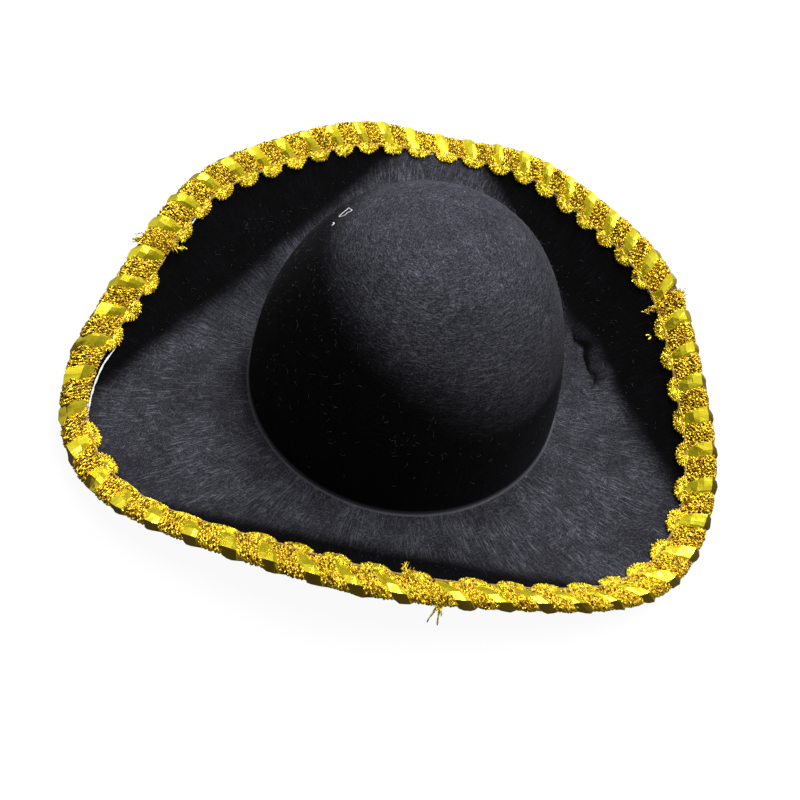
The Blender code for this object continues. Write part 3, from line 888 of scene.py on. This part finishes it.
def glue_line(name, angles, inward, material):
    """A run of squeezed-out glue on the felt: its angles in degrees and its distances from the edge in mm."""
    share = np.linspace(0, 1, 60)
    turn = angles[0] + (angles[-1] - angles[0]) * share
    distance = np.interp(turn, angles, inward) * MM
    path = brim_place(distance, BRIM_THICKNESS / 2 + 0.35 * MM, np.radians(turn))
    rounded = np.sqrt(np.clip(1 - (2 * share - 1) ** 6, 0.05, 1))
    shape = Shape()
    shape.tube(path, 0.55 * MM * rounded * (1 + 0.25 * np.sin(share * 41)), 8)
    shape.finish(name, material, "glue")


def build_trim(materials):
    """All pieces of the trim. A splice has an angle, and the length of the longest yarn ends there."""
    bright, ground = materials["bright_yarn"], materials["ground"]
    for label in TRIM_LENGTHS:
        braid_ground(label, ground)
        braid(label, materials["yarn"])
        foil(label, materials["foil"])
        glue(label, materials["glue"])
        for side, face in ((-1, "inner"), (1, "outer")):
            scallops(label, side, face, bright, ground)
            stitch_line(label, side, face, materials["thread"])
    splices = {"right": (66, 8 * MM), "back": (168, 10 * MM), "left": (282, 7 * MM)}
    for label, (angle, tail) in splices.items():
        frayed_ends(label, angle, bright, tail)
    fleck(bright)
    glue_line("glue_line_left", (246, 249, 252, 256, 260), (8.4, 9.4, 10.6, 12.8, 16.5), materials["glue"])
    glue_line("glue_line_front", (288, 291, 295), (16.0, 16.5, 15.5), materials["glue"])


# ---- inside the crown


def crown_inside(height):
    """Radius of the backing's inner face at a height over the rest plane."""
    rows = 90
    radius, level = inset(*body_profile(np.zeros(1), rows, 4), BRIM_THICKNESS)
    return np.interp(height, level[rows - 1::-1, 0], radius[rows - 1::-1, 0])


def sweatband(material):
    """A grosgrain ribbon around the head opening, with raised ribs and its ends lapped at the front."""
    lap = math.radians(12)
    rib = 1.25 * MM
    count = int(2 * math.pi * CROWN_RADIUS / rib) * 5
    angle = np.linspace(0, 2 * math.pi + lap, count)[None, :]
    share = np.linspace(0, 1, 13)[:, None]
    height = BAND_LOW.z + (BAND_HIGH.z - BAND_LOW.z) * share
    lapped = smooth_step(angle, 2 * math.pi - 0.06, 2 * math.pi)
    wall = crown_inside(height) - LAYER_GAP - lapped * (SWEATBAND_THICKNESS + LAYER_GAP)
    selvage = np.clip(1 - np.minimum(share, 1 - share) / 0.06, 0, 1)
    ribs = 0.5 + 0.5 * np.cos(angle * CROWN_RADIUS * 2 * math.pi / rib)
    thick = SWEATBAND_THICKNESS * (0.72 + 0.22 * ribs * (1 - selvage) + 0.25 * selvage)
    wall = wall - 0.25 * MM * np.abs(np.sin(angle * 7)) * share
    inner, outer = place(wall - thick, height, angle), place(wall, height, angle)
    shape = Shape()
    shape.slab(inner[:, ::-1], outer[:, ::-1])
    shape.finish("sweatband_ribbon", material, "ribbon", "sweatband")


def sweatband_stitches(material):
    """Running stitches that hold the ribbon near its lower edge."""
    low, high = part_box("sweatband_thread")
    height = (low.z + high.z) / 2
    radius = (high.x - low.x) / 2
    count = int(2 * math.pi * radius / (4.0 * MM))
    share = np.linspace(-1, 1, 7)
    shape = Shape()
    for index in range(count):
        angle = (index + 0.36 * share) * 2 * math.pi / count
        dip = 0.55 * MM * np.abs(share) ** 3
        path = place(radius - 0.35 * MM + dip, height + 0.25 * MM * share, angle)
        shape.tube(path, 0.26 * MM)
    shape.finish("sweatband_stitches", material, "black_thread", "sweatband_thread")


def care_label(material):
    """A blank woven label on its sewn edge: slightly curled, with rounded corners and woven selvages."""
    low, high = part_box("care_label")
    rise, run = high.z - low.z, high.y - low.y - LABEL_THICKNESS
    length = math.hypot(rise, run)
    side = np.linspace(-1, 1, 30)[None, :]
    share = np.linspace(0, 1, 44)[:, None]
    corner = 1 - 0.05 * smooth_step(share, 0.94, 1.0)
    x = side * high.x * corner
    curl = 1.1 * MM * share ** 2 * (side ** 2 - 0.3) + 0.5 * MM * share * np.sin(share * 5 + side * 1.5)
    selvage = smooth_step(np.abs(side), 0.90, 0.96) + smooth_step(share, 0.955, 0.975)
    thick = (0.16 + 0.07 * np.clip(selvage, 0, 1)) * MM
    grids = []
    for lift in (curl + thick, curl - thick):
        y = low.y + LABEL_THICKNESS / 2 + run * share + rise / length * lift
        z = low.z + rise * share - run / length * lift
        grids.append(np.stack([x, y, z], axis=-1))
    shape = Shape()
    shape.slab(*grids)
    shape.finish("care_label_tape", material, "label_cloth", "care_label", body=LABEL_BODY)


def label_stitches(material):
    """The zigzag bar tack that holds the label's lower edge."""
    low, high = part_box("label_thread")
    middle = (low + high) / 2
    zigzags = 22
    steps = np.arange(zigzags + 1)
    x = low.x + (high.x - low.x) * steps / zigzags
    zigzag = np.where(steps % 2, 1, -1) * MM
    shape = Shape()
    shape.tube(np.stack([x, middle.y + 0.18 * zigzag, middle.z + 0.30 * zigzag], axis=-1), 0.17 * MM)
    shape.finish("label_stitches", material, "black_thread", "label_thread")


# ---- lint and stray fibres


def crown_place(angle, radius, above=0.0):
    """Points on the crown's outer face, from the angle and the distance from the axis."""
    share = np.clip(1 - (radius / CROWN_RADIUS) ** CROWN_SIDE_POWER, 0, 1) ** (1 / CROWN_TOP_POWER)
    height = CREASE_HEIGHT + CROWN_HEIGHT * share + above
    points = place(radius, height, angle)
    points[..., 0] += CROWN_LEAN * smooth_step(height, LEAN_START, CREASE_HEIGHT + CROWN_HEIGHT)
    return points


def lint(material):
    """A loose loop of white thread and a speck, caught in the nap at the left of the crown."""
    turn = np.linspace(0, 2 * math.pi, 26)
    middle = math.radians(288)
    angle = middle + 0.060 * np.cos(turn) + 0.020 * np.sin(2 * turn + 0.6)
    radius = 57 * MM + 2.2 * MM * np.sin(turn) + 0.8 * MM * np.cos(3 * turn + 0.5)
    shape = Shape()
    shape.tube(crown_place(angle, radius, 0.5 * MM), 0.24 * MM)
    angle = middle - 0.135 + 0.02 * np.linspace(-1, 1, 9)
    radius = 60.5 * MM + 0.8 * MM * np.linspace(-1, 1, 9) ** 2
    shape.tube(crown_place(angle, radius, 0.5 * MM), 0.38 * MM)
    shape.finish("white_lint", material, "beige_thread")


def stray_fibres(material):
    """Short fibres that stand out of the nap, on the crown and on the brim."""
    source = np.random.RandomState(12)
    shape = Shape()
    share = np.linspace(0, 1, 5)[:, None]
    for index in range(STRAY_FIBRES):
        angle = source.uniform(0, 2 * math.pi)
        if index % 5 < 3:
            radius = CROWN_RADIUS * source.uniform(0.15, 0.995)
            root = crown_place(np.array(angle), np.array(radius), -0.2 * MM)
            away = root - np.array([0.0, AXIS_Y, 0.045])
            away = away / np.linalg.norm(away)
        else:
            radius = source.uniform(CROWN_RADIUS + 3 * MM, outline(angle) - 24 * MM)
            root = place(np.array(radius), brim_height(radius, angle) - 0.2 * MM, np.array(angle))
            away = np.array([0.0, 0.0, 1.0])
        heading = source.normal(size=3)
        heading = heading - away * (heading @ away)
        heading = heading / np.linalg.norm(heading)
        length = source.uniform(1.0, 2.6) * MM
        bend = source.normal(size=3) * 0.35
        path = root + (heading * share + bend * share ** 2 + away * 0.42 * np.sin(share * 2.4)) * length
        shape.tube(path, 0.045 * MM, 3)
    shape.finish("felt_stray_fibres", material, "felt")


# ---- studio


def soft_light(name, location, energy, size):
    """A round lamp that points at the hat."""
    data = bpy.data.lights.new(name, "AREA")
    data.energy = energy
    data.shape = "DISK"
    data.size = size
    light = bpy.data.objects.new(name, data)
    light.location = location
    towards_hat = Vector((0.0, AXIS_Y, 0.05)) - Vector(location)
    light.rotation_euler = towards_hat.to_track_quat("-Z", "Y").to_euler()
    bpy.context.scene.collection.objects.link(light)


def floor_material():
    """A pale floor: plain to the camera with a soft shadow, and darker in the light that it throws back."""
    n = Nodes("pale_floor")
    n.tree.nodes.clear()
    tint = n.mix(n.noise(n.place("Generated"), 3.0), (0.90, 0.90, 0.90), (0.94, 0.94, 0.94))
    glow = n.node("Emission", {"Color": (1, 1, 1), "Strength": 1.0})
    matt = n.node("BsdfDiffuse", {"Color": tint})
    thrown_back = n.node("BsdfDiffuse", {"Color": (0.12, 0.12, 0.12)})
    seen = n.node("MixShader", {"Fac": 0.06, 1: glow.outputs[0], 2: matt.outputs[0]})
    n.node("OutputMaterial", {"Surface": n.for_camera(thrown_back, seen)})
    return n.owner


def studio_world():
    """A pale backdrop for the camera, and a soft dome for the object, bright above and behind it."""
    bpy.context.scene.world = bpy.data.worlds.new("studio")
    n = Nodes("studio", bpy.context.scene.world)
    n.tree.nodes.clear()
    _, y, z = n.split(n.place("Generated"))
    strength = n.ramp(n.plus(n.times(y, 0.32), n.times(z, 0.8)), -0.1, 0.9, 0.085, 0.75)
    dome = n.node("Background", {"Strength": strength})
    seen = n.node("Background", {"Color": (0.97, 0.97, 0.97)})
    n.node("OutputWorld", {"Surface": n.for_camera(dome, seen)})


def build_studio():
    mesh = bpy.data.meshes.new("floor")
    size = 4.0
    corners = [(-size, -size, 0), (size, -size, 0), (size, size, 0), (-size, size, 0)]
    mesh.from_pydata(corners, [], [(0, 1, 2, 3)])
    floor = bpy.data.objects.new("floor", mesh)
    floor.location.z = -0.3 * MM
    mesh.materials.append(floor_material())
    bpy.context.scene.collection.objects.link(floor)
    studio_world()
    soft_light("back_light", (0.15, 0.95, 1.05), 17, 0.7)
    soft_light("side_light", (0.42, -0.05, 1.40), 21, 0.9)
    bpy.context.scene.view_settings.view_transform = "Standard"
    bpy.context.scene.view_settings.look = "None"


def build_camera():
    """The camera behind the hat and above it, turned a little to the hat's left and rolled."""
    turn, rise = CAMERA_TURN, CAMERA_HEIGHT
    back = Vector((math.sin(turn) * math.cos(rise), -math.cos(turn) * math.cos(rise), math.sin(rise)))
    level = Vector((math.cos(turn), math.sin(turn), 0.0))
    right = level * math.cos(CAMERA_ROLL) + back.cross(level) * math.sin(CAMERA_ROLL)
    matrix = Matrix((right, back.cross(right), back)).transposed().to_4x4()
    matrix.translation = CAMERA_TARGET + back * CAMERA_DISTANCE
    data = bpy.data.cameras.new("camera")
    data.lens = CAMERA_LENS
    data.sensor_width = 36.0
    data.shift_x, data.shift_y = CAMERA_SHIFT
    data.clip_start = 0.01
    camera = bpy.data.objects.new("camera", data)
    camera.matrix_world = matrix
    bpy.context.scene.collection.objects.link(camera)
    bpy.context.scene.camera = camera


# ---- the whole hat


def build():
    materials = {
        "yarn": yarn_material("gold_lurex_yarn", (1.0, 0.70, 0.028), (0.24, 0.11, 0.006)),
        "bright_yarn": yarn_material("gold_lurex_loops", (1.0, 0.77, 0.034), (0.46, 0.28, 0.010)),
        "ground": yarn_material("gimp_ground", (0.12, 0.065, 0.004), (0.025, 0.012, 0.001), 0.4, 0.5),
        "foil": foil_material(),
        "glue": glue_material(),
        "thread": thread_material("stitch_thread", (0.52, 0.36, 0.07), (0.22, 0.13, 0.02)),
    }
    moulded_body("felt_cover_skin", 0.0, FELT_THICKNESS, felt_material(), "felt_cover", "felt")
    below_felt = FELT_THICKNESS + LAYER_GAP
    backing = backing_material()
    moulded_body("stiffener_backing", below_felt, BRIM_THICKNESS, backing, "stiffener_shell", "stiffener")
    build_trim(materials)
    sweatband(ribbon_material())
    black_thread = thread_material("black_thread", (0.030, 0.030, 0.032), (0.006, 0.006, 0.006))
    sweatband_stitches(black_thread)
    label_stitches(black_thread)
    care_label(label_material())
    lint(thread_material("lint_thread", (0.80, 0.80, 0.80), (0.55, 0.55, 0.55)))
    stray_fibres(thread_material("stray_fibre", (0.06, 0.06, 0.075), (0.02, 0.02, 0.024)))
    build_studio()
    build_camera()


build()
